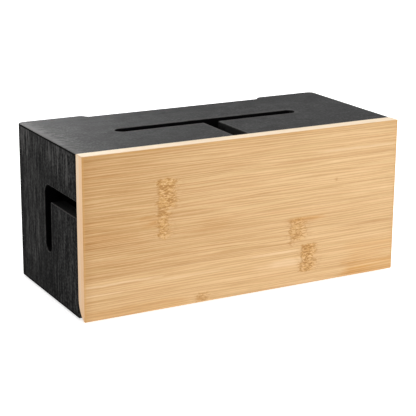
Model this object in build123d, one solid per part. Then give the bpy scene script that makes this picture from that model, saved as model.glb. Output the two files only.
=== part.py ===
"""Cable management box for a desk or shelf.

A black-stained bamboo carcass stands on four pads and is open at the front. Its
four boards are mitred and joined by loose splines, and a back board sits in a
groove that runs round all four. Cable slots in the top and in both sides open at
the front edges, so a plugged-in cable is threaded in from the front. A natural
bamboo panel covers the whole front, and magnets hold it there.

Millimetres. X runs from left to right, Y from front to back and Z up. The origin
is the centre of the lowest face of the whole box, level with the soles of the pads.
"""
import os
from math import atan2, cos, degrees, hypot, sin, sqrt, tan

from build123d import *

# Carcass
width = 300.0
carcass_depth = 128.0
carcass_height = 136.5
board_thickness = 12.0
rear_corner_radius = 6.0
edge_radius = 1.0

# Front panel
panel_thickness = 12.0
panel_lip = 0.3  # height of the panel's top edge above the carcass
panel_edge_radius = 0.8
pull_height = 17.5  # height of the rounded finger pull along the lower rear edge
pull_toe = 1.8  # thickness left at the bottom edge, below the finger pull

# Cable slots in the top and the sides
slot_width = 13.6
slot_setback = 61.0  # from the front edges back to the line that all the slots share
slot_corner_radius = 1.2
slot_rim_chamfer = 0.6
top_slot_length = 176.0
side_slot_drop = 45.8  # from the top of the carcass to the upper leg's centre line
side_slot_rise = 46.0  # from the underside to the centre of the lower, round end
side_slot_bend_radius = 8.5

# Cable notch in the rear edge of the top board
notch_length = 179.0
notch_depth = 6.2
notch_end_run = 3.6  # how far each end slants inwards over the notch's depth
notch_corner_radius = 5.0

# Back board, its groove and its cable outlet
back_thickness = 6.0
back_setback = 12.0  # from the rear edges of the carcass to the board's rear face
groove_depth = 5.0
groove_clearance = 0.1  # on each face of the back board
groove_end_gap = 0.3
outlet_height = 30.0
outlet_corner_radius = 8.0
outlet_rim_chamfer = 0.5

# Loose splines in the mitres
spline_width = 9.0
spline_thickness = 3.0
spline_setback = 6.5  # along the mitre, from the inner corner to the spline's middle
spline_end_margin = 14.0
spline_clearance = 0.1

# Magnets
magnet_diameter = 8.0
magnet_thickness = 4.0
magnet_edge_chamfer = 0.3
magnet_proud = 0.1  # how far each magnet stands out of its wood
magnet_clearance = 0.05
magnet_top_margin = 13.0  # from the carcass's top to the upper magnets
magnet_pull_margin = 5.5  # from the finger pull up to the lower magnets

# Foot pads
pad_diameter = 10.0
pad_thickness = 1.5
pad_inset = 14.0  # from the carcass's edges to the middle of a pad
pad_edge_chamfer = 0.3

# Places that follow from the sizes above
closing_gap = 2 * magnet_proud
depth = panel_thickness + closing_gap + carcass_depth
panel_front_y = -depth / 2
panel_back_y = panel_front_y + panel_thickness
carcass_front_y = panel_back_y + closing_gap
carcass_back_y = carcass_front_y + carcass_depth
underside_z = pad_thickness
carcass_top_z = underside_z + carcass_height
panel_top_z = carcass_top_z + panel_lip
inner_bottom_z = underside_z + board_thickness
inner_top_z = carcass_top_z - board_thickness
inner_x = width / 2 - board_thickness
slot_y = carcass_front_y + slot_setback
slot_rear_y = slot_y + slot_width / 2
side_slot_upper_z = carcass_top_z - side_slot_drop
side_slot_top_z = side_slot_upper_z + slot_width / 2
side_slot_lower_z = underside_z + side_slot_rise
back_rear_y = carcass_back_y - back_setback
back_front_y = back_rear_y - back_thickness
outlet_length = notch_length  # the outlet lies straight below the notch
outlet_bottom_z = inner_top_z - outlet_height
magnet_x = width / 2 - board_thickness / 2
upper_magnet_z = carcass_top_z - magnet_top_margin - magnet_diameter / 2
lower_magnet_z = underside_z + pull_height + magnet_pull_margin + magnet_diameter / 2

SIDES = {"left": -1, "right": 1}
LEVELS = {"top": 1, "bottom": -1}
OVERRUN = 2.0  # how far a cutter runs past the faces that it cuts
NEAR = 0.01  # distance within which an edge counts as lying on a face


def block(x_range, y_range, z_range):
    """Box between two limits on each axis."""
    lows, highs = zip(x_range, y_range, z_range)
    centre = [(low + high) / 2 for low, high in zip(lows, highs)]
    size = [high - low for low, high in zip(lows, highs)]
    return Pos(*centre) * Box(*size)


def prism_up(outline, bottom, top):
    """Solid over an outline that is drawn as seen from above."""
    return Pos(0, 0, bottom) * extrude(outline, top - bottom)


def prism_back(outline, front, back):
    """Solid behind an outline that is drawn as seen from the front."""
    return extrude(Plane.XZ.offset(-back) * outline, back - front)


def prism_across(outline, left, right):
    """Solid along X over an outline that is drawn in Y and Z."""
    return extrude(Plane.YZ.offset(left) * outline, right - left)


def nearest_vertices(outline, points):
    return [outline.vertices().sort_by_distance((x, y, 0))[0] for x, y in points]


def edges_within(solid, x_range, y_range, z_range):
    """Edges of a solid that lie wholly between two limits on each axis."""
    lows, highs = zip(x_range, y_range, z_range)

    def lies_within(edge):
        box = edge.bounding_box()
        spans = zip(lows, box.min, box.max, highs)
        return all(low - NEAR < start and end < high + NEAR for low, start, end, high in spans)

    return solid.edges().filter_by(lies_within)


# Outer shape of the carcass


def carcass_plan():
    """Outline of the carcass from above, with rounded rear corners."""
    plan = Pos(0, (carcass_front_y + carcass_back_y) / 2) * Rectangle(width, carcass_depth)
    return fillet(plan.vertices().group_by(Axis.Y)[-1], rear_corner_radius)


def notched_plan():
    """The same outline with the cable notch: a shallow bay with soft, slanting ends."""
    lip_x = notch_length / 2
    foot_x = lip_x - notch_end_run
    foot_y = carcass_back_y - notch_depth
    mouth_x = lip_x + OVERRUN * notch_end_run / notch_depth
    mouth_y = carcass_back_y + OVERRUN
    bay = Polyline((-mouth_x, mouth_y), (-foot_x, foot_y), (foot_x, foot_y), (mouth_x, mouth_y), close=True)
    plan = carcass_plan() - make_face(bay)
    corners = [(-lip_x, carcass_back_y), (-foot_x, foot_y), (foot_x, foot_y), (lip_x, carcass_back_y)]
    turn = atan2(notch_depth, notch_end_run)
    largest_radius = 0.45 * hypot(notch_end_run, notch_depth) / tan(turn / 2)
    return fillet(nearest_vertices(plan, corners), min(notch_corner_radius, largest_radius))


def carcass_block(plan):
    """Block of the carcass's outer shape, with every edge but the front ones rounded."""
    solid = prism_up(plan, underside_z, carcass_top_z)
    outline = solid.edges().filter_by(lambda edge: edge.center().Y > carcass_front_y + NEAR)
    outline = outline.filter_by(Axis.Z, reverse=True)
    return fillet(outline, edge_radius)


def mitre_point(corner, outwards=0.0):
    """Point on the mitre of one corner, in X and Z, some way out from the inner corner."""
    side, level = corner
    inner_z = inner_top_z if level > 0 else inner_bottom_z
    return (side * (inner_x + outwards), inner_z + level * outwards)


def mitred_board(first, second, plan):
    """Board from one corner's mitre to the next, cut for the back board and the splines."""
    reach = board_thickness + OVERRUN
    points = [mitre_point(first), mitre_point(second), mitre_point(second, reach), mitre_point(first, reach)]
    section = make_face(Polyline(*points, close=True))
    board = carcass_block(plan) & prism_back(section, carcass_front_y, carcass_back_y)
    return board - back_groove() - spline(first, spline_clearance) - spline(second, spline_clearance)


# Joints of the carcass


def back_groove():
    """Space that the back board's edges take up in the four boards around it."""
    reach_x = inner_x + groove_depth
    y_range = (back_front_y - groove_clearance, back_rear_y + groove_clearance)
    z_range = (inner_bottom_z - groove_depth, inner_top_z + groove_depth)
    return block((-reach_x, reach_x), y_range, z_range)


def spline(corner, clearance=0.0):
    """Loose spline square across a corner's mitre, or with a clearance the slot that holds it."""
    side, level = corner
    square_to_mitre = degrees(atan2(level, side)) + 90
    section = Rectangle(spline_width + 2 * clearance, spline_thickness + 2 * clearance)
    placed = Pos(*mitre_point(corner, spline_setback / sqrt(2))) * Rot(0, 0, square_to_mitre) * section
    front = carcass_front_y + spline_end_margin - clearance
    return prism_back(placed, front, back_front_y - spline_end_margin + clearance)


# Cable slots


def top_slot():
    """T-shaped slot: an arm across the top, and a leg from its middle to the front edge."""
    front_y = carcass_front_y - OVERRUN
    junction_y = slot_y - slot_width / 2
    arm = Pos(0, slot_y) * SlotOverall(top_slot_length, slot_width)
    leg = Pos(0, (front_y + slot_y) / 2) * Rectangle(slot_width, slot_y - front_y)
    junction = [(-slot_width / 2, junction_y), (slot_width / 2, junction_y)]
    outline = arm + leg
    outline = fillet(nearest_vertices(outline, junction), slot_corner_radius)
    return prism_up(outline, inner_top_z - OVERRUN, carcass_top_z + OVERRUN)


def side_slot(side):
    """Bent slot: it runs back from the front edge, then turns down to a round end."""
    front_y = carcass_front_y - OVERRUN
    upper_length = slot_rear_y - front_y
    lower_length = side_slot_top_z - side_slot_lower_z
    upper_leg = Pos((front_y + slot_rear_y) / 2, side_slot_upper_z) * Rectangle(upper_length, slot_width)
    lower_leg = Pos(slot_y, (side_slot_top_z + side_slot_lower_z) / 2) * Rectangle(slot_width, lower_length)
    outline = upper_leg + lower_leg + Pos(slot_y, side_slot_lower_z) * Circle(slot_width / 2)
    outline = fillet(nearest_vertices(outline, [(slot_rear_y, side_slot_top_z)]), side_slot_bend_radius)
    inside_bend = (slot_y - slot_width / 2, side_slot_upper_z - slot_width / 2)
    outline = fillet(nearest_vertices(outline, [inside_bend]), slot_corner_radius)
    left, right = sorted((side * (inner_x - OVERRUN), side * (width / 2 + OVERRUN)))
    return prism_across(outline, left, right)


# Discs, outlet and finger pull


def magnet_disc(place, front, back, clearance=0.0):
    """Disc with its axis along Y, or with a clearance the pocket that it is glued into."""
    return prism_back(Pos(*place) * Circle(magnet_diameter / 2 + clearance), front, back)


def magnet_places(side):
    """X and Z of the magnets on one side of the box, by level."""
    return {"top": (side * magnet_x, upper_magnet_z), "bottom": (side * magnet_x, lower_magnet_z)}


def outlet():
    """Cable outlet in the back board: a wide bay that is open at the top."""
    top_z = inner_top_z + groove_depth
    opening = Pos(0, (outlet_bottom_z + top_z) / 2) * Rectangle(outlet_length, top_z - outlet_bottom_z)
    opening = fillet(opening.vertices().group_by(Axis.Y)[0], outlet_corner_radius)
    return prism_back(opening, back_front_y - OVERRUN, back_rear_y + OVERRUN)


def panel_section():
    """Outline of the front panel in Y and Z. An arc from the rear face down to a thin
    toe leaves room for the fingers between the panel and the carcass."""
    pull_depth = panel_thickness - pull_toe
    radius = (pull_height**2 + pull_depth**2) / (2 * pull_depth)
    half_turn = atan2(pull_height, radius - pull_depth) / 2
    pull_top = (panel_back_y, underside_z + pull_height)
    toe = (panel_front_y + pull_toe, underside_z)
    middle = (pull_top[0] - radius * (1 - cos(half_turn)), pull_top[1] - radius * sin(half_turn))
    front = [(panel_front_y, underside_z), (panel_front_y, panel_top_z)]
    straight = Polyline(toe, *front, (panel_back_y, panel_top_z), pull_top)
    return make_face(straight + ThreePointArc(pull_top, middle, toe))


# Pieces


def top_board():
    board = mitred_board((-1, 1), (1, 1), notched_plan()) - top_slot()
    span = (-top_slot_length / 2, top_slot_length / 2)
    rim = edges_within(board, span, (carcass_front_y, slot_rear_y), (carcass_top_z, carcass_top_z))
    return chamfer(rim, slot_rim_chamfer)


def bottom_board():
    return mitred_board((-1, -1), (1, -1), carcass_plan())


def side_board(side):
    board = mitred_board((side, -1), (side, 1), carcass_plan()) - side_slot(side)
    outer_x = side * width / 2
    rise = (side_slot_lower_z - slot_width / 2, side_slot_top_z)
    rim = edges_within(board, (outer_x, outer_x), (carcass_front_y, slot_rear_y), rise)
    board = chamfer(rim, slot_rim_chamfer)
    pocket_end_y = carcass_front_y + magnet_thickness - magnet_proud
    for place in magnet_places(side).values():
        board -= magnet_disc(place, carcass_front_y - OVERRUN, pocket_end_y, magnet_clearance)
    return board


def back_board():
    reach = groove_depth - groove_end_gap
    x_limit = inner_x + reach
    top_z = inner_top_z + reach
    board = block((-x_limit, x_limit), (back_front_y, back_rear_y), (inner_bottom_z - reach, top_z))
    board -= outlet()
    span = (-outlet_length / 2, outlet_length / 2)
    rise = (outlet_bottom_z, top_z)
    rims = [edges_within(board, span, (y, y), rise) for y in (back_front_y, back_rear_y)]
    return chamfer(rims[0] + rims[1], outlet_rim_chamfer)


def front_panel():
    panel = prism_across(panel_section(), -width / 2, width / 2)
    pull_depths = (panel_front_y + pull_toe, panel_back_y)
    pull_heights = (underside_z, underside_z + pull_height)
    pull_edges = edges_within(panel, (-width, width), pull_depths, pull_heights).filter_by(Axis.X)
    eased = [edge for edge in panel.edges() if edge not in pull_edges]
    panel = fillet(eased, min(panel_edge_radius, 0.45 * pull_toe))
    pocket_front_y = panel_back_y - magnet_thickness + magnet_proud
    for side in SIDES.values():
        for place in magnet_places(side).values():
            panel -= magnet_disc(place, pocket_front_y, panel_back_y + OVERRUN, magnet_clearance)
    return panel


def magnet(place, front):
    disc = magnet_disc(place, front, front + magnet_thickness)
    return chamfer(disc.edges().filter_by(GeomType.CIRCLE), magnet_edge_chamfer)


def foot_pad(x, y):
    pad = prism_up(Pos(x, y) * Circle(pad_diameter / 2), 0, pad_thickness)
    sole = pad.edges().filter_by(GeomType.CIRCLE).group_by(Axis.Z)[0]
    return chamfer(sole, pad_edge_chamfer)


def all_pieces():
    """Every piece of the box by name."""
    pieces = {
        "top_board": top_board(),
        "bottom_board": bottom_board(),
        "back_board": back_board(),
        "front_panel": front_panel(),
    }
    pad_rows = {"front": carcass_front_y + pad_inset, "rear": carcass_back_y - pad_inset}
    for name, side in SIDES.items():
        pieces[f"{name}_side_board"] = side_board(side)
        for level, sign in LEVELS.items():
            pieces[f"corner_spline_{level}_{name}"] = spline((side, sign))
        for level, place in magnet_places(side).items():
            pieces[f"carcass_magnet_{level}_{name}"] = magnet(place, carcass_front_y - magnet_proud)
            panel_magnet_front_y = panel_back_y + magnet_proud - magnet_thickness
            pieces[f"panel_magnet_{level}_{name}"] = magnet(place, panel_magnet_front_y)
        for row, y in pad_rows.items():
            pieces[f"foot_pad_{row}_{name}"] = foot_pad(side * (width / 2 - pad_inset), y)
    return pieces


os.makedirs("parts", exist_ok=True)
for name, piece in all_pieces().items():
    export_step(piece, f"parts/{name}.step")
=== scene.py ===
import math

import bpy
from mathutils import Matrix, Vector


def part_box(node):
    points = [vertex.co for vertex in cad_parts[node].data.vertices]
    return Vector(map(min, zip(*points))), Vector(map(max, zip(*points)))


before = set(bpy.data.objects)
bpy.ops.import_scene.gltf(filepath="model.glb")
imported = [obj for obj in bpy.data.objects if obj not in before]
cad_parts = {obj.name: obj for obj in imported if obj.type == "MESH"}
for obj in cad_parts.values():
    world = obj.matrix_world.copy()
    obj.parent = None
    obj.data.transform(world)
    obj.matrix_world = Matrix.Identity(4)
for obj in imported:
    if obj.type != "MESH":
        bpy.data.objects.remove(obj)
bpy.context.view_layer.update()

# ---------------------------------------------------------------- places, in millimetres
# Every node's origin is the frame's, so the object coordinates that the materials read are
# places in the frame, which are scaled to millimetres.
MM = 1000.0
panel_low, panel_high = (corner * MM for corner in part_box("front_panel"))
top_low, top_high = (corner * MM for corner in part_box("top_board"))
LEFT_END, RIGHT_END = panel_low.x, panel_high.x  # the carcass is as wide as the panel
PANEL_TOP = panel_high.z
CARCASS_TOP, CARCASS_BACK = top_high.z, top_high.y

# The inside of the carcass, 0.2 mm past its faces so that they count as in it. At the back it
# ends 0.5 mm before the rear face of the back board, which is outside.
INNER_X = 138.2
INNER_BOTTOM, INNER_TOP = 13.3, 126.2
INNER_BACK = 57.6
# Between these, the faces that lie across a carcass board are walls of its cut-outs.
CUT_FRONT, CUT_BACK = top_low.y + 0.3, top_high.y - 0.3
# The T-shaped slot and the rear notch of the top board. The notch's ends slant inwards.
SLOT_LINE, SLOT_HALF_WIDTH, SLOT_HALF_LENGTH = 3.1, 6.8, 88.0
NOTCH_DEPTH, NOTCH_HALF_FOOT, NOTCH_HALF_LIP = 6.2, 86.0, 89.6

# ---------------------------------------------------------------- the natural board's layout
# Two plies of strips. The first seam of each ply lies this far below the panel's top.
PLY_LINE = (panel_low.y + panel_high.y) / 2
PLY_BLUR = 0.05
STRIP_HEIGHT = 25.0
FRONT_FIRST_SEAM, REAR_FIRST_SEAM = 1.0, 14.0
# The strips are numbered from the top, in the front ply from the first of these and in the rear
# ply from the sum of both. Each draws its tone, shift and hue from its number.
FIRST_NUMBER, REAR_NUMBERS = 3.0, 17.0

# Tone of each strip in the front ply, from the top one down, and how much lighter the strips of
# both plies get towards the right: partly their own tone, partly painted light from the right.
FRONT_STRIP_TONES = (0.25, 0.28, 0.27, 0.29, 0.50, 0.58)
STRIP_TONE_AND_LIGHT_SLOPES = (0.50, 0.50, 0.50, 0.32, 0.16, 0.10)

# Noises of the fibres: size along X, Y and Z, detail, roughness, and share in the tone.
FIBRES = {
    "broad": ((220.0, 9.0, 8.0), 1.0, 0.5, 0.08),
    "middle": ((110.0, 2.2, 2.0), 1.0, 0.6, 0.04),
    "fine": ((90.0, 1.5, 1.25), 1.0, 0.6, 0.54),
    "specks": ((26.0, 1.0, 0.8), 1.0, 0.5, 0.48),
    "pores": ((3.5, 1.0, 0.9), 2.0, 0.5, 0.24),
}
# Even lines among them, whose phase strays along them by up to THREAD_WANDER radians.
THREAD_PITCH, THREAD_WANDER, THREAD_SHARE = 2.3, 16.0, 0.18
# The sum of the shares becomes a mix of the deepest and the brightest colour by these.
TONE_SCALE, TONE_LEVEL = 0.72, -0.3138

# Knuckles of the bamboo: distance of the left side from the panel's left end, width,
# first and last depth below the panel's top, and strength.
FRONT_KNUCKLES = (
    (66.0, 16.5, 26.0, 51.0, 1.0),
    (66.5, 10.0, 51.0, 76.0, 0.9),
    (192.0, 16.0, 76.5, 96.0, 0.8),
    (192.0, 1.5, 95.0, 101.0, 0.8),
    (203.5, 14.5, 101.0, 126.0, 1.0),
    (103.0, 9.0, 127.5, 137.0, 0.65),
    (238.0, 2.2, 46.0, 48.2, 0.7),
)
REAR_KNUCKLES = (
    (118.0, 16.0, 14.0, 39.0, 0.8),
    (231.0, 17.0, 64.0, 89.0, 1.0),
    (52.0, 14.0, 89.0, 114.0, 0.8),
)
# The sides of a knuckle and its dark line stray from upright by up to half of these.
KNUCKLE_STRAY, KNUCKLE_LINE_STRAY = 15.0, 6.0
# Browner patches in the front strips: left and right from the panel's left end, first and
# last depth below its top, and strength.
FRONT_PATCHES = (
    (-20.0, 48.0, 51.0, 76.0, 0.16),
    (50.0, 67.0, 56.0, 66.0, 0.45),
    (104.0, 132.0, 66.0, 75.0, 0.15),
    (196.0, 222.0, 75.0, 80.0, 0.45),
    (246.0, 320.0, 124.0, 140.0, 0.58),
    (204.0, 218.0, 101.0, 112.0, 0.35),
    (250.0, 320.0, 106.0, 124.0, 0.22),
    (-20.0, 92.0, 129.0, 140.0, 0.25),
)
# Pale streaks and dark lines in the front strips, in the same numbers.
FRONT_STREAKS = (
    (-20.0, 64.0, 107.3, 108.6, 0.42),
    (-20.0, 40.0, 115.0, 116.2, 0.32),
    (60.0, 120.0, 110.5, 111.8, 0.26),
    (150.0, 200.0, 104.0, 106.0, 0.26),
    (170.0, 204.0, 112.0, 118.0, 0.30),
    (225.0, 320.0, 20.0, 21.5, 0.35),
)
FRONT_LINES = (
    (-20.0, 60.0, 25.8, 27.0, 0.38),
    (172.0, 320.0, 26.0, 27.2, 0.32),
    (8.0, 50.0, 50.2, 51.2, 0.45),
    (-20.0, 64.0, 75.3, 76.4, 0.45),
    (106.0, 190.0, 70.0, 71.2, 0.25),
    (150.0, 280.0, 66.0, 67.2, 0.25),
    (222.0, 320.0, 88.0, 89.2, 0.20),
    (-20.0, 130.0, 100.6, 101.6, 0.30),
    (225.0, 320.0, 125.4, 126.6, 0.30),
)
# Rubbed places on the outer faces of the side boards: nearest and furthest distance from the
# rear edge, first and last depth below the top, and strength.
SIDE_RUBS = (
    (10.0, 28.0, -5.0, 24.0, 0.80),
    (34.0, 60.0, -5.0, 16.0, 0.20),
    (69.0, 76.0, -5.0, 16.0, 0.48),
    (80.0, 116.0, -5.0, 26.0, 0.38),
    (14.0, 50.0, 24.0, 112.0, 0.20),
    (110.0, 124.0, 62.0, 128.0, 0.08),
)


# ---------------------------------------------------------------- node trees
class Graph:
    """A material's node tree around one Principled shader. An input takes a number, a colour or
    a socket."""

    # Sockets of a Mix node that mixes colours.
    MIX_SHARE, MIX_FIRST, MIX_SECOND, MIX_RESULT = 0, 6, 7, 2

    def __init__(self, name):
        self.material = bpy.data.materials.new(name)
        self.material.use_nodes = True
        self.tree = self.material.node_tree
        self.tree.nodes.clear()
        self.shader = self.add("ShaderNodeBsdfPrincipled")
        output = self.add("ShaderNodeOutputMaterial")
        self.tree.links.new(self.shader.outputs["BSDF"], output.inputs["Surface"])
        coordinates = self.add("ShaderNodeTexCoord")
        self.place = self.vector("MULTIPLY", coordinates.outputs["Object"], (MM, MM, MM))
        self.x, self.y, self.z = self.split(self.place)
        self.normal = self.split(coordinates.outputs["Normal"])
        # How squarely the surface looks along X, Y and Z either way, and 1 where it looks
        # along none of them, as on an eased edge.
        self.facing = [self.absolute(part) for part in self.normal]
        self.eased = self.rise(self.most(*self.facing), 0.80, 0.97, 1.0, 0.0)

    def add(self, kind, **settings):
        node = self.tree.nodes.new(kind)
        for key, value in settings.items():
            setattr(node, key, value)
        return node

    def feed(self, socket, value):
        if isinstance(value, bpy.types.NodeSocket):
            self.tree.links.new(value, socket)
        elif isinstance(value, tuple) and len(socket.default_value) > len(value):
            socket.default_value = (*value, 1.0)
        else:
            socket.default_value = value

    def math(self, operation, *values):
        node = self.add("ShaderNodeMath", operation=operation)
        for socket, value in zip(node.inputs, values):
            self.feed(socket, value)
        return node.outputs[0]

    def chain(self, operation, values):
        out, *others = values
        for value in others:
            out = self.math(operation, out, value)
        return out

    def total(self, *values):
        return self.chain("ADD", values)

    def product(self, *values):
        return self.chain("MULTIPLY", values)

    def most(self, *values):
        return self.chain("MAXIMUM", values)

    def least(self, *values):
        return self.chain("MINIMUM", values)

    def minus(self, value, other):
        return self.math("SUBTRACT", value, other)

    def absolute(self, value):
        return self.math("ABSOLUTE", value)

    def vector(self, operation, *values):
        node = self.add("ShaderNodeVectorMath", operation=operation)
        for socket, value in zip(node.inputs, values):
            self.feed(socket, value)
        return node.outputs[0]

    def split(self, value):
        node = self.add("ShaderNodeSeparateXYZ")
        self.feed(node.inputs[0], value)
        return node.outputs[:]

    def join(self, x, y, z):
        node = self.add("ShaderNodeCombineXYZ")
        for socket, value in zip(node.inputs, (x, y, z)):
            self.feed(socket, value)
        return node.outputs[0]

    def rise(self, value, low, high, bottom=0.0, top=1.0):
        """bottom below low and top above high, with a smooth way between."""
        node = self.add("ShaderNodeMapRange", interpolation_type="SMOOTHSTEP", clamp=True)
        names = ("Value", "From Min", "From Max", "To Min", "To Max")
        for name, given in zip(names, (value, low, high, bottom, top)):
            self.feed(node.inputs[name], given)
        return node.outputs[0]

    def inside(self, value, low, high, soft):
        """1 between low and high and 0 outside, with soft edges."""
        return self.product(
            self.rise(value, low - soft, low + soft),
            self.rise(value, high - soft, high + soft, 1.0, 0.0),
        )

    def noise(self, place, size, detail=2.0, roughness=0.5, distortion=0.0):
        """Noise with blots of about size = (x, y, z) millimetres."""
        node = self.add("ShaderNodeTexNoise", noise_dimensions="3D", normalize=True)
        self.feed(node.inputs["Vector"], self.vector("DIVIDE", place, size))
        self.feed(node.inputs["Scale"], 1.0)
        self.feed(node.inputs["Detail"], detail)
        self.feed(node.inputs["Roughness"], roughness)
        self.feed(node.inputs["Distortion"], distortion)
        return node.outputs["Fac"]

    def stray(self, size, reach):
        """Noise about zero, which goes up to half of reach either way."""
        return self.product(self.minus(self.noise(self.place, size), 0.5), reach)

    def random(self, value):
        """Three steady random numbers for a whole number."""
        node = self.add("ShaderNodeTexWhiteNoise", noise_dimensions="1D")
        self.feed(node.inputs["W"], value)
        return self.split(node.outputs["Color"])

    def steps(self, value, numbers):
        """numbers[0] below 1, numbers[1] from 1 to 2, and so on, for numbers from 0 to 1."""
        node = self.add("ShaderNodeValToRGB")
        node.color_ramp.interpolation = "CONSTANT"
        stops = node.color_ramp.elements
        while len(stops) < len(numbers):
            stops.new(1.0)
        for index, number in enumerate(numbers):
            stops[index].position = index / len(numbers)
            stops[index].color = (number, number, number, 1.0)
        self.feed(node.inputs[0], self.product(value, 1.0 / len(numbers)))
        return node.outputs[0]

    def patchwork(self, patches, along, across, soft_along, soft_across):
        """How much of a patch there is at a point, for patches given by two ranges and a
        strength. Their edges are soft and a little uneven."""
        blur = self.stray((14.0, 6.0, 6.0), 3.0)
        along = self.total(along, self.product(blur, soft_along))
        across = self.total(across, self.product(blur, soft_across))
        return self.most(0.0, *(
            self.product(
                self.inside(along, start, end, soft_along),
                self.inside(across, first, last, soft_across),
                strength,
            )
            for start, end, first, last, strength in patches
        ))

    def mix(self, share, first, second, kind="MIX"):
        node = self.add("ShaderNodeMix", data_type="RGBA", blend_type=kind)
        self.feed(node.inputs[self.MIX_SHARE], share)
        self.feed(node.inputs[self.MIX_FIRST], first)
        self.feed(node.inputs[self.MIX_SECOND], second)
        return node.outputs[self.MIX_RESULT]

    def bump(self, height, distance, strength):
        node = self.add("ShaderNodeBump")
        self.feed(node.inputs["Height"], height)
        self.feed(node.inputs["Distance"], distance)
        self.feed(node.inputs["Strength"], strength)
        return node.outputs["Normal"]

    def finish(self, **inputs):
        """Sets the shader's own inputs, named with _ for a space, and returns the material."""
        for name, value in inputs.items():
            self.feed(self.shader.inputs[name.replace("_", " ")], value)
        return self.material


# ---------------------------------------------------------------- bamboo in its natural colour
BAMBOO_DEEP = (0.370, 0.188, 0.050)
BAMBOO_DARK = (0.458, 0.264, 0.092)
BAMBOO_LIGHT = (0.661, 0.440, 0.235)
BAMBOO_BRIGHT = (0.744, 0.516, 0.278)
BAMBOO_PINK = (0.600, 0.330, 0.150)
BAMBOO_OLIVE = (0.520, 0.345, 0.145)
BAMBOO_TINT = (0.86, 0.67, 0.34)
BAMBOO_ORANGE = (0.500, 0.262, 0.072)
# also the colour of the painted shade in the margin at the front's left end
BAMBOO_SCAR_AND_SHADE = (0.330, 0.155, 0.034)
BAMBOO_BLOB = (0.545, 0.285, 0.055)
BAMBOO_PALE = (0.800, 0.600, 0.390)
BAMBOO_EDGE = (0.860, 0.700, 0.500)
BAMBOO_END_REAR = (0.790, 0.590, 0.390)
BAMBOO_END_FRONT = (0.840, 0.545, 0.295)


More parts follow.
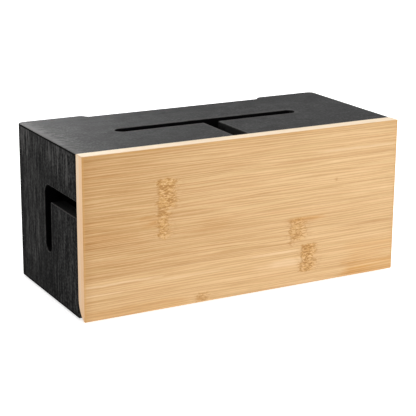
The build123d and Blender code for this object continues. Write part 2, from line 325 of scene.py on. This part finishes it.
class BambooBoard(Graph):
    """Two plies of plain-pressed strips with fibres along X, knuckles, and pale ends."""

    def __init__(self, name):
        super().__init__(name)
        self.depth = self.minus(PANEL_TOP, self.z)
        self.from_left = self.minus(self.x, LEFT_END)
        plies = (PLY_LINE - PLY_BLUR, PLY_LINE + PLY_BLUR)
        self.rear = self.rise(self.y, *plies)
        self.front = self.minus(1.0, self.rear)
        first_seam = self.rise(self.y, *plies, FRONT_FIRST_SEAM, REAR_FIRST_SEAM)
        self.below_seam = self.minus(self.depth, first_seam)
        self.strip = self.most(self.math("DIVIDE", self.below_seam, STRIP_HEIGHT), 0.0)
        number = self.total(
            self.math("FLOOR", self.strip), self.product(self.rear, REAR_NUMBERS), FIRST_NUMBER
        )
        self.luck, self.shift, self.hue = self.random(number)

    def fibres(self):
        """Wood with fibres that wander a little and belong to one strip each."""
        sway = self.stray((200.0, 60.0, 45.0), 3.0)
        ripple = self.stray((30.0, 12.0, 7.0), 0.3)
        height = self.total(self.z, sway, ripple, self.product(self.shift, 400.0))
        deep = self.total(self.y, self.product(self.shift, 90.0))
        self.along = self.join(self.x, deep, height)
        self.fibre = {
            name: self.noise(self.along, size, detail, roughness)
            for name, (size, detail, roughness, share) in FIBRES.items()
        }
        wander = self.product(self.noise(self.along, (120.0, 4.0, 3.5), 1.0), THREAD_WANDER)
        turns = self.product(height, math.tau / THREAD_PITCH)
        threads = self.math("SINE", self.total(turns, wander))
        tone_and_light_slope = self.rise(self.from_left, -90.0, 260.0, -0.5, 0.5)
        light = self.total(
            *(self.product(self.fibre[name], share) for name, (*_, share) in FIBRES.items()),
            self.product(threads, THREAD_SHARE),
            self.product(self.front, self.steps(self.strip, FRONT_STRIP_TONES)),
            self.product(self.rear, self.luck),
            # lighter towards the right: partly the strips' own tone, partly painted light
            self.product(self.steps(self.strip, STRIP_TONE_AND_LIGHT_SLOPES), tone_and_light_slope),
            # painted shade: darker at the left end; also darker along the top
            self.rise(self.from_left, 0.0, 14.0, -0.08, 0.0),
            self.rise(self.from_left, 10.0, 60.0, -0.07, 0.0),
            self.rise(self.depth, 2.0, 7.0, -0.14, 0.0),
        )
        light = self.total(self.product(light, TONE_SCALE), TONE_LEVEL)
        wood = self.mix(light, BAMBOO_DEEP, BAMBOO_BRIGHT)

        # changes of hue from fibre to fibre
        wood = self.mix(self.rise(threads, -0.7, 0.9, 0.14, 0.0), wood, BAMBOO_TINT, "MULTIPLY")
        blush = self.noise(self.along, (60.0, 1.6, 1.1), 1.0)
        wood = self.mix(self.rise(blush, 0.52, 0.75, 0.0, 0.22), wood, BAMBOO_PINK)
        wood = self.mix(self.rise(blush, 0.28, 0.50, 0.36, 0.0), wood, BAMBOO_OLIVE)
        elsewhere = self.vector("ADD", self.along, (0.0, 0.0, 57.0))
        pale = self.rise(self.noise(elsewhere, (70.0, 1.3, 1.1), 1.0), 0.62, 0.78)
        share = self.product(pale, self.rise(self.hue, 0.0, 1.0, 0.10, 0.35))
        return self.mix(share, wood, BAMBOO_LIGHT)

    def front_marks(self, wood):
        """Patches, streaks and lines of the front ply, and a darker margin at its left end, partly
        painted shade.
        """
        patches = self.patchwork(FRONT_PATCHES, self.from_left, self.depth, 9.0, 1.8)
        streaky = self.noise(self.along, (60.0, 2.2, 1.8))
        patches = self.product(patches, self.front, self.rise(streaky, 0.30, 0.65, 0.4, 1.5))
        wood = self.mix(patches, wood, BAMBOO_TINT, "MULTIPLY")
        streaks = self.patchwork(FRONT_STREAKS, self.from_left, self.depth, 12.0, 0.5)
        wood = self.mix(self.product(streaks, self.front), wood, BAMBOO_PALE)
        lines = self.patchwork(FRONT_LINES, self.from_left, self.depth, 14.0, 0.5)
        wood = self.mix(self.product(lines, self.front), wood, BAMBOO_SCAR_AND_SHADE)
        # partly painted shade: a darker margin at the left end
        margin = self.rise(self.from_left, 2.0, 9.0, 0.15, 0.0)
        return self.mix(self.product(margin, self.front), wood, BAMBOO_SCAR_AND_SHADE)

    def seams(self, wood):
        """Broken dark lines between the strips, plainer in the rear ply."""
        across = self.math("PINGPONG", self.below_seam, STRIP_HEIGHT / 2)
        broken = self.rise(self.noise(self.place, (30.0, 5.0, 9.0)), 0.40, 0.62)
        self.seam = self.product(
            self.rise(across, 0.15, 0.7, 1.0, 0.0), broken, self.rise(self.depth, 5.0, 8.0)
        )
        share = self.product(self.seam, self.total(0.15, self.product(self.rear, 0.35)))
        return self.mix(share, wood, BAMBOO_SCAR_AND_SHADE)

    def knuckle_bands(self, knuckles, depth, wobble, side):
        """How much there is at a point of a knuckle's band, of the bent fibres beside it, and
        of the dark line on its left."""
        ragged = self.total(self.x, self.product(wobble, KNUCKLE_STRAY))
        steady = self.total(self.x, self.product(wobble, KNUCKLE_LINE_STRAY))
        bands, beside, lines = 0.0, 0.0, 0.0
        for left, width, first, last, strength in knuckles:
            start = LEFT_END + left
            end = start + width
            rows = self.product(self.inside(depth, first, last, 1.2), side, strength)
            band = self.product(
                self.rise(ragged, start - 1.5, start + 1.5),
                self.rise(ragged, end - 5.0, end + 2.5, 1.0, 0.0),
            )
            around = self.inside(ragged, start - 4.0, end + 4.0, 5.0)
            line = self.inside(steady, start - 0.6, start + 1.2, 0.9)
            bands = self.most(bands, self.product(band, rows))
            beside = self.most(beside, self.product(around, rows))
            lines = self.most(lines, self.product(line, rows))
        return bands, beside, lines

    def knuckles(self, wood):
        """Browner bands with short dark and pale strokes."""
        wobble = self.stray((7.0, 3.0, 1.5), 1.0)
        depth = self.total(self.depth, self.stray((4.0, 3.0, 9.0), 5.0))
        front = self.knuckle_bands(FRONT_KNUCKLES, depth, wobble, self.front)
        rear = self.knuckle_bands(REAR_KNUCKLES, depth, wobble, self.rear)
        bands, beside, lines = (self.most(*pair) for pair in zip(front, rear))
        strokes = self.noise(self.place, (3.4, 3.0, 1.25), 2.0, 0.6, 0.8)
        dark = self.total(self.product(bands, 0.64), self.product(beside, 0.30))
        pale = self.total(self.product(bands, 0.14), self.product(beside, 0.10))
        dark = self.product(self.rise(strokes, 0.42, 0.54, 1.0, 0.0), dark)
        pale = self.product(self.rise(strokes, 0.54, 0.63), pale)
        self.bands, self.strokes = bands, strokes
        wood = self.mix(self.product(bands, 0.45), wood, BAMBOO_BLOB)
        wood = self.mix(dark, wood, BAMBOO_SCAR_AND_SHADE)
        wood = self.mix(pale, wood, BAMBOO_PALE)
        return self.mix(self.product(lines, 0.42), wood, BAMBOO_SCAR_AND_SHADE)

    def edges(self, wood):
        """Ends with cut fibres, pale edges, and a darker orange line along the arrises, painted
        shade of their rounding.
        """
        end_wood = self.mix(self.rear, BAMBOO_END_FRONT, BAMBOO_END_REAR)
        dots = self.rise(self.noise(self.place, (6.0, 0.42, 0.42), 1.0), 0.58, 0.70)
        end_wood = self.mix(self.product(dots, 0.22), end_wood, BAMBOO_DARK)
        end_wood = self.mix(self.product(self.luck, 0.20), end_wood, BAMBOO_PINK)
        end_wood = self.mix(self.rise(self.depth, 0.0, 55.0, 0.10, 0.42), end_wood, BAMBOO_PINK)
        ends = self.product(self.rise(self.facing[0], 0.6, 0.9), 0.92)
        wood = self.mix(ends, wood, end_wood)
        long_edges = self.product(self.rise(self.facing[2], 0.6, 0.9), 0.75)
        wood = self.mix(long_edges, wood, BAMBOO_EDGE)
        edge_gap = self.least(self.minus(RIGHT_END, self.absolute(self.x)), self.depth)
        # painted shade: a darker orange line along the arrises
        arris = self.product(
            self.rise(edge_gap, 0.8, 2.6, 1.0, 0.0), self.rise(self.facing[1], 0.3, 0.8), 0.45
        )
        return self.mix(arris, wood, BAMBOO_ORANGE)

    def board(self):
        """Builds the material and returns it."""
        wood = self.fibres()
        for step in (self.front_marks, self.seams, self.knuckles, self.edges):
            wood = step(wood)
        relief = self.total(
            self.product(self.fibre["middle"], 0.5),
            self.product(self.fibre["fine"], 0.35),
            self.product(self.strokes, self.bands, 0.8),
            self.product(self.seam, -0.8),
        )
        roughness = self.total(
            0.40, self.product(self.fibre["fine"], 0.16), self.product(self.bands, 0.06)
        )
        return self.finish(
            Base_Color=wood,
            Roughness=roughness,
            Specular_IOR_Level=0.42,
            Normal=self.bump(relief, 0.00008, 0.6),
        )


# ---------------------------------------------------------------- black-stained bamboo
# The deepest stain also serves as painted shade, the worn stain also as painted highlight.
STAIN_DEEP_AND_SHADE = (0.0012, 0.0012, 0.0014)
STAIN_THIN = (0.0500, 0.0495, 0.0485)
# the walls of cut-outs under painted light
STAIN_CUT_LIT = (0.0260, 0.0258, 0.0255)
STAIN_WORN_AND_HIGHLIGHT = (0.1150, 0.1120, 0.1080)


class StainedBoard(Graph):
    """Black stain over bamboo, for a board that is thin along axis 0, 1 or 2.

    The two kinds below say along which axis the fibres run, how rough and glossy the board is,
    where it is rubbed, by what factors its marks are stronger and at what levels they start,
    which of its places are darker (some of them painted shade) or lighter (painted highlight),
    and where its rims get wear and a painted highlight and its cut-out walls painted light."""

    def __init__(self, name, thin_axis):
        super().__init__(name)
        self.face = self.rise(self.facing[thin_axis], 0.35, 0.65)
        self.width = self.absolute(self.x)
        self.from_left = self.minus(self.x, LEFT_END)
        self.rear_gap = self.minus(CARCASS_BACK, self.y)
        self.top_gap = self.minus(CARCASS_TOP, self.z)
        sway = self.stray(self.sized(110.0, 30.0), 2.0)
        along = self.join(self.x, self.total(self.y, sway), self.z)
        self.broad = self.noise(self.place, self.sized(60.0, 18.0))
        self.lines = self.noise(along, self.sized(34.0, 2.0), 2.0, 0.65)
        self.fine = self.noise(along, self.sized(12.0, 1.5), 2.0, 0.65)
        self.rubbed = self.rubbed_places()

    def sized(self, length, width):
        """The size of a noise along the fibres and across them, as (x, y, z)."""
        return tuple(length if axis == self.FIBRE_AXIS else width for axis in range(3))

    def grain(self):
        """Stain that took unevenly, most of all in the rubbed places."""
        marks = self.total(
            self.product(self.lines, 1.9),
            self.product(self.fine, 1.6),
            self.product(self.noise(self.place, (2.2, 2.2, 2.0), 1.0), self.FLECK_SHARE),
            self.MARKS_LEVEL,
        )
        contrast = self.product(self.rise(self.rubbed, 0.0, 0.7, 1.0, 1.4), *self.contrasts())
        grain = self.total(
            self.product(marks, contrast),
            self.product(self.broad, 0.5),
            self.product(self.rubbed, 0.34),
            *self.levels(),
        )
        stain = self.mix(self.rise(grain, -0.1, 1.1, 0.10, 0.90), STAIN_DEEP_AND_SHADE, STAIN_THIN)
        streaks = self.rise(self.total(self.lines, self.product(self.fine, 0.4)), 0.62, 0.84)
        return self.mix(self.product(streaks, self.rubbed), stain, STAIN_WORN_AND_HIGHLIGHT)

    def cut_walls(self, stain, rim):
        """The walls of the cut-outs, darker and duller, partly from their stained cut fibres and
        partly as painted shade, with painted light on the walls that look along the fibres, more
        towards the front; and the whole inside, darker as painted shade and duller.
        """
        cut = self.product(
            self.minus(1.0, self.face),
            self.minus(1.0, rim),
            self.inside(self.y, CUT_FRONT, CUT_BACK, 0.1),
        )
        # painted light on the walls that look along the fibres, more towards the front
        crosswise_painted_light = self.product(
            self.rise(self.facing[self.FIBRE_AXIS], 0.5, 0.9),
            self.rise(self.y, -55.0, 12.0, 1.0, 0.15),
            self.rise(self.fine, 0.3, 0.6, 0.5, 1.2),
            self.painted_wall_light(),
        )
        stain = self.mix(cut, stain, self.mix(crosswise_painted_light, STAIN_DEEP_AND_SHADE, STAIN_CUT_LIT))
        # painted shade over the whole inside
        within = self.product(
            self.inside(self.x, -INNER_X, INNER_X, 0.1),
            self.inside(self.z, INNER_BOTTOM, INNER_TOP, 0.1),
            self.rise(self.y, INNER_BACK, INNER_BACK + 0.2, 1.0, 0.0),
        )
        self.dull = self.most(cut, within)
        return self.mix(self.product(within, 0.50), stain, STAIN_DEEP_AND_SHADE)

    def board(self):
        """Builds the material and returns it."""
        stain = self.grain()
        # darker and lighter places, among them painted shade and painted highlights
        for share, colour in self.shades():
            stain = self.mix(share, stain, colour)
        # eased rims lighter: partly wear, partly a painted highlight stronger on rims facing one
        # way
        rim = self.product(self.eased, *self.rims())
        worn_and_highlighted = self.product(rim, self.rise(self.fine, 0.3, 0.7, 0.35, 1.0))
        stain = self.cut_walls(self.mix(worn_and_highlighted, stain, STAIN_WORN_AND_HIGHLIGHT), rim)
        clouds = self.noise(self.place, (14.0, 14.0, 14.0), 3.0, 0.6)
        roughness = self.total(
            self.ROUGHNESS,
            self.product(self.lines, 0.24),
            self.product(clouds, 0.16),
            self.product(self.dull, 0.50),
        )
        relief = self.total(self.product(self.lines, 0.6), self.product(self.fine, 0.4))
        return self.finish(
            Base_Color=stain,
            Roughness=roughness,
            Specular_IOR_Level=self.SPECULAR,
            Normal=self.bump(relief, 0.00016, 0.8),
        )


class SideBoard(StainedBoard):
    """A side board, with fibres along Z."""

    FIBRE_AXIS = 2
    FLECK_SHARE, MARKS_LEVEL = 1.4, -2.45
    ROUGHNESS, SPECULAR = 0.58, 0.012

    def rubbed_places(self):
        return self.patchwork(SIDE_RUBS, self.rear_gap, self.top_gap, 4.0, 6.0)

    def contrasts(self):
        return (
            self.rise(self.top_gap, 16.0, 30.0, 1.0, 0.82),
            self.rise(self.rear_gap, 60.0, 112.0, 0.92, 1.5),
        )

    def levels(self):
        return (
            0.04,
            self.rise(self.top_gap, 10.0, 60.0, 0.08, 0.0),
            self.rise(self.rear_gap, 30.0, 70.0, 0.02, 0.0),
        )

    def shades(self):
        """Painted shade: darker places at the top arris, the rear corner, a band beside it, the
        lower arris.
        """
        corner = self.rise(self.facing[1], 0.94, 0.99, 1.0, 0.0)
        return (
            (self.rise(self.top_gap, 1.0, 1.9, 0.95, 0.0), STAIN_DEEP_AND_SHADE),
            (self.product(self.rise(self.rear_gap, 3.0, 6.5, 0.95, 0.0), corner), STAIN_DEEP_AND_SHADE),
            (self.product(
                self.rise(self.rear_gap, 8.0, 20.0, 0.30, 0.0), self.rise(self.top_gap, 16.0, 36.0)
            ), STAIN_DEEP_AND_SHADE),
            (self.rise(self.z, 2.4, 4.4, 0.95, 0.0), STAIN_DEEP_AND_SHADE),
        )

    def rims(self):
        """Wear and a painted highlight on the rims of the outer face, most of all those that look
        to the rear.
        """
        return (
            self.rise(self.width, 148.5, 149.0),
            self.rise(self.rear_gap, 6.5, 8.0),
            self.rise(self.top_gap, 3.0, 4.0),
            self.rise(self.normal[1], -0.3, 0.3, 0.3, 1.0),
        )

    # no painted light by height on the walls of the side boards' cut-outs
    def painted_wall_light(self):
        return 1.0


class LongBoard(StainedBoard):
    """The top, bottom or back board, with fibres along X."""

    FIBRE_AXIS = 0
    FLECK_SHARE, MARKS_LEVEL = 2.2, -2.85
    ROUGHNESS, SPECULAR = 0.34, 0.05

    def rubbed_places(self):
        return self.product(
            self.rise(self.from_left, 0.0, 26.0, 1.0, 0.0),
            self.rise(self.top_gap, 0.5, 2.0, 1.0, 0.0),
            self.rise(self.rear_gap, 50.0, 110.0, 1.0, 0.5),
        )

    def contrasts(self):
        return (self.rise(self.from_left, 10.0, 100.0, 1.5, 1.0),)

    def levels(self):
        return (-0.18,)

    def slot_gap(self):
        """Distance from the T-shaped slot, which is below 0 in it."""
        bar = self.most(
            self.total(self.width, -SLOT_HALF_LENGTH),
            self.total(self.absolute(self.total(self.y, -SLOT_LINE)), -SLOT_HALF_WIDTH),
        )
        leg = self.most(self.total(self.width, -SLOT_HALF_WIDTH), self.total(self.y, -SLOT_LINE))
        return self.least(bar, leg)

    def shades(self):
        """Painted highlights: lighter places at the left end and round the slot. Darker places:
        painted shade at the right end, and along the rear edge with its notch, left of the middle,
        towards the rear, and between the rubbed fibres."""
        # painted highlight along the left end
        left_end_highlight = self.product(
            self.rise(self.from_left, 1.0, 10.0, 0.75, 0.0),
            self.rise(self.rear_gap, 60.0, 115.0, 1.0, 0.3),
        )
        # painted highlight round the slot
        slot_rim_highlight = self.product(
            self.rise(self.slot_gap(), 0.6, 3.0, 0.25, 0.0),
            self.rise(self.top_gap, 0.2, 0.6, 1.0, 0.0),
        )
        right_gap = self.minus(RIGHT_END, self.x)
        bay = self.rise(self.width, NOTCH_HALF_FOOT, NOTCH_HALF_LIP, -NOTCH_DEPTH, 0.0)
        rear_rim = self.product(
            self.rise(self.total(self.rear_gap, bay), 1.2, 4.4, 0.8, 0.0),
            self.face,
            self.rise(self.from_left, 4.0, 40.0, 0.4, 1.0),
        )
        rear_strip = self.product(
            self.rise(self.rear_gap, 14.0, 46.0, 0.60, 0.0), self.rise(self.from_left, 4.0, 24.0)
        )
        return (
            (left_end_highlight, STAIN_WORN_AND_HIGHLIGHT),
            (slot_rim_highlight, STAIN_WORN_AND_HIGHLIGHT),
            # painted shade along the right end
            (self.rise(right_gap, 1.0, 2.6, 0.9, 0.0), STAIN_DEEP_AND_SHADE),
            (rear_rim, STAIN_DEEP_AND_SHADE),
            (self.product(self.inside(self.from_left, 30.0, 74.0, 12.0), 0.4), STAIN_DEEP_AND_SHADE),
            (rear_strip, STAIN_DEEP_AND_SHADE),
            (self.product(self.rise(self.fine, 0.54, 0.72), self.rubbed, 0.6), STAIN_DEEP_AND_SHADE),
        )

    def rims(self):
        """Wear and a painted highlight on the rims of the upper face, but hardly on those that
        look left or lie at the rear edge.
        """
        return (
            self.rise(self.top_gap, 0.9, 1.3, 1.0, 0.0),
            self.rise(self.normal[0], -0.5, 0.3, 0.1, 0.9),
            self.rise(self.rear_gap, 7.5, 9.0, 0.15, 1.0),
        )

    # painted light on the walls of the cut-outs, strongest near the top face
    def painted_wall_light(self):
        return self.rise(self.top_gap, 0.0, 11.0, 2.2, 0.3)


# ---------------------------------------------------------------- hidden and small parts
def plain_wood():
    """Pale cut wood of the corner splines, with its fibres across the joint."""
    g = Graph("pale_spline_wood")
    lines = g.noise(g.place, (9.0, 60.0, 0.8), 3.0, 0.6)
    return g.finish(
        Base_Color=g.mix(lines, (0.42, 0.27, 0.13), (0.66, 0.48, 0.28)),
        Roughness=g.total(0.62, g.product(lines, 0.15)),
        Normal=g.bump(lines, 0.00006, 0.5),
    )


def nickel():
    """Bright nickel plate with faint scuffs."""
    g = Graph("nickel_plate")
    scuffs = g.noise(g.place, (0.25, 2.0, 2.6), 3.0, 0.6)
    cloud = g.noise(g.place, (3.0, 3.0, 3.0))
    return g.finish(
        Base_Color=g.mix(cloud, (0.62, 0.60, 0.56), (0.74, 0.72, 0.68)),
        Metallic=1.0,
        Roughness=g.total(0.16, g.product(scuffs, 0.18), g.product(cloud, 0.08)),
        Normal=g.bump(scuffs, 0.00001, 0.4),
    )


def rubber():
    """Matt black rubber with a fine moulded stipple and a trace of dust."""
    g = Graph("black_rubber")
    stipple = g.noise(g.place, (0.35, 0.35, 0.35))
    dust = g.noise(g.place, (2.5, 2.5, 2.5), 3.0)
    return g.finish(
        Base_Color=g.mix(g.rise(dust, 0.45, 0.8), (0.012, 0.012, 0.012), (0.045, 0.044, 0.042)),
        Roughness=g.total(0.68, g.product(stipple, 0.2)),
        Normal=g.bump(stipple, 0.00005, 0.7),
    )


def dress(material, *words):
    """Gives a material to every CAD node whose name holds one of the words."""
    for name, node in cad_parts.items():
        if any(word in name for word in words):
            for slot in node.material_slots:
                slot.material = material


dress(SideBoard("black_stained_sides", 0).board(), "side_board")
dress(LongBoard("black_stained_back", 1).board(), "back_board")
dress(LongBoard("black_stained_top_and_bottom", 2).board(), "top_board", "bottom_board")
dress(BambooBoard("natural_bamboo_board").board(), "front_panel")
dress(plain_wood(), "spline")
dress(nickel(), "magnet")
dress(rubber(), "foot_pad")


# ---------------------------------------------------------------- floor, light and camera
FLOOR_HALF = 30.0
FLOOR_COLOUR = (0.78, 0.78, 0.78)
FLOOR_GLOW = 0.66

# The world's strength at the horizon and from the shoulder, a sine of elevation, to the zenith.
WORLD_HORIZON = 1.0
WORLD_ZENITH = 0.35
WORLD_SHOULDER = 0.45

# Soft boxes that look at one point: name, azimuth from behind towards the right, elevation,
# distance, width, height and power.
LIGHT_AIM = Vector((0.0, 0.0, 0.1))
LIGHTS = (
    ("overhead", 20, 80, 2.0, 2.4, 2.0, 26.0),
    ("behind", 10, 12, 2.4, 0.9, 0.5, 12.5),
    ("behind_right", 25, 20, 2.2, 1.2, 0.9, 3.2),
    ("right", 60, 25, 2.2, 1.2, 0.9, 4.1),
    ("front_right", 140, 30, 2.4, 1.4, 1.4, 20.6),
    ("front", 195, 25, 2.6, 1.4, 1.4, 7.5),
)

# The camera, fitted to the corners of the box in the photo without a lens shift.
CAMERA_PLACE = (-0.5493, -1.0073, 0.3928)
CAMERA_YAW = math.radians(-28.595)
CAMERA_PITCH = math.radians(16.199)
CAMERA_ROLL = math.radians(0.396)
SENSOR = 36.0
FOCAL_PIXELS = 1354.0
FRAME_PIXELS = 416.0


def make_floor():
    mesh = bpy.data.meshes.new("floor")
    corners = ((-1, -1), (1, -1), (1, 1), (-1, 1))
    places = [(x * FLOOR_HALF, y * FLOOR_HALF, 0.0) for x, y in corners]
    mesh.from_pydata(places, [], [(0, 1, 2, 3)])
    floor = bpy.data.objects.new("floor", mesh)
    bpy.context.scene.collection.objects.link(floor)
    mesh.materials.append(Graph("pale_floor").finish(
        Base_Color=FLOOR_COLOUR,
        Roughness=0.9,
        Specular_IOR_Level=0.2,
        Emission_Color=(1.0, 1.0, 1.0),
        Emission_Strength=FLOOR_GLOW,
    ))


def make_world():
    world = bpy.data.worlds.new("studio")
    world.use_nodes = True
    nodes, links = world.node_tree.nodes, world.node_tree.links
    sky = nodes["Background"]
    sky.inputs["Color"].default_value = (1.0, 1.0, 1.0, 1.0)
    direction = nodes.new("ShaderNodeTexCoord")
    split = nodes.new("ShaderNodeSeparateXYZ")
    fade = nodes.new("ShaderNodeMapRange")
    fade.interpolation_type = "SMOOTHSTEP"
    fade.inputs["From Max"].default_value = WORLD_SHOULDER
    fade.inputs["To Min"].default_value = WORLD_HORIZON
    fade.inputs["To Max"].default_value = WORLD_ZENITH
    links.new(direction.outputs["Generated"], split.inputs[0])
    links.new(split.outputs["Z"], fade.inputs["Value"])
    links.new(fade.outputs[0], sky.inputs["Strength"])
    bpy.context.scene.world = world


def make_lights():
    for name, azimuth, elevation, distance, width, height, power in LIGHTS:
        data = bpy.data.lights.new(name, "AREA")
        data.shape, data.size, data.size_y, data.energy = "RECTANGLE", width, height, power
        lamp = bpy.data.objects.new(name, data)
        around, up = math.radians(azimuth), math.radians(elevation)
        flat = math.cos(up)
        away = Vector((math.sin(around) * flat, math.cos(around) * flat, math.sin(up)))
        lamp.location = LIGHT_AIM + distance * away
        lamp.rotation_euler = away.to_track_quat("Z", "Y").to_euler()
        lamp.visible_camera = False
        bpy.context.scene.collection.objects.link(lamp)


def make_camera():
    data = bpy.data.cameras.new("camera")
    data.sensor_width = SENSOR
    data.lens = FOCAL_PIXELS / FRAME_PIXELS * SENSOR
    camera = bpy.data.objects.new("camera", data)
    yaw = Matrix.Rotation(CAMERA_YAW, 4, "Z")
    pitch = Matrix.Rotation(math.radians(90) - CAMERA_PITCH, 4, "X")
    roll = Matrix.Rotation(CAMERA_ROLL, 4, "Z")
    camera.matrix_world = Matrix.Translation(CAMERA_PLACE) @ (yaw @ pitch) @ roll
    bpy.context.scene.collection.objects.link(camera)
    bpy.context.scene.camera = camera


make_floor()
make_world()
make_lights()
make_camera()
bpy.context.scene.view_settings.view_transform = "Standard"
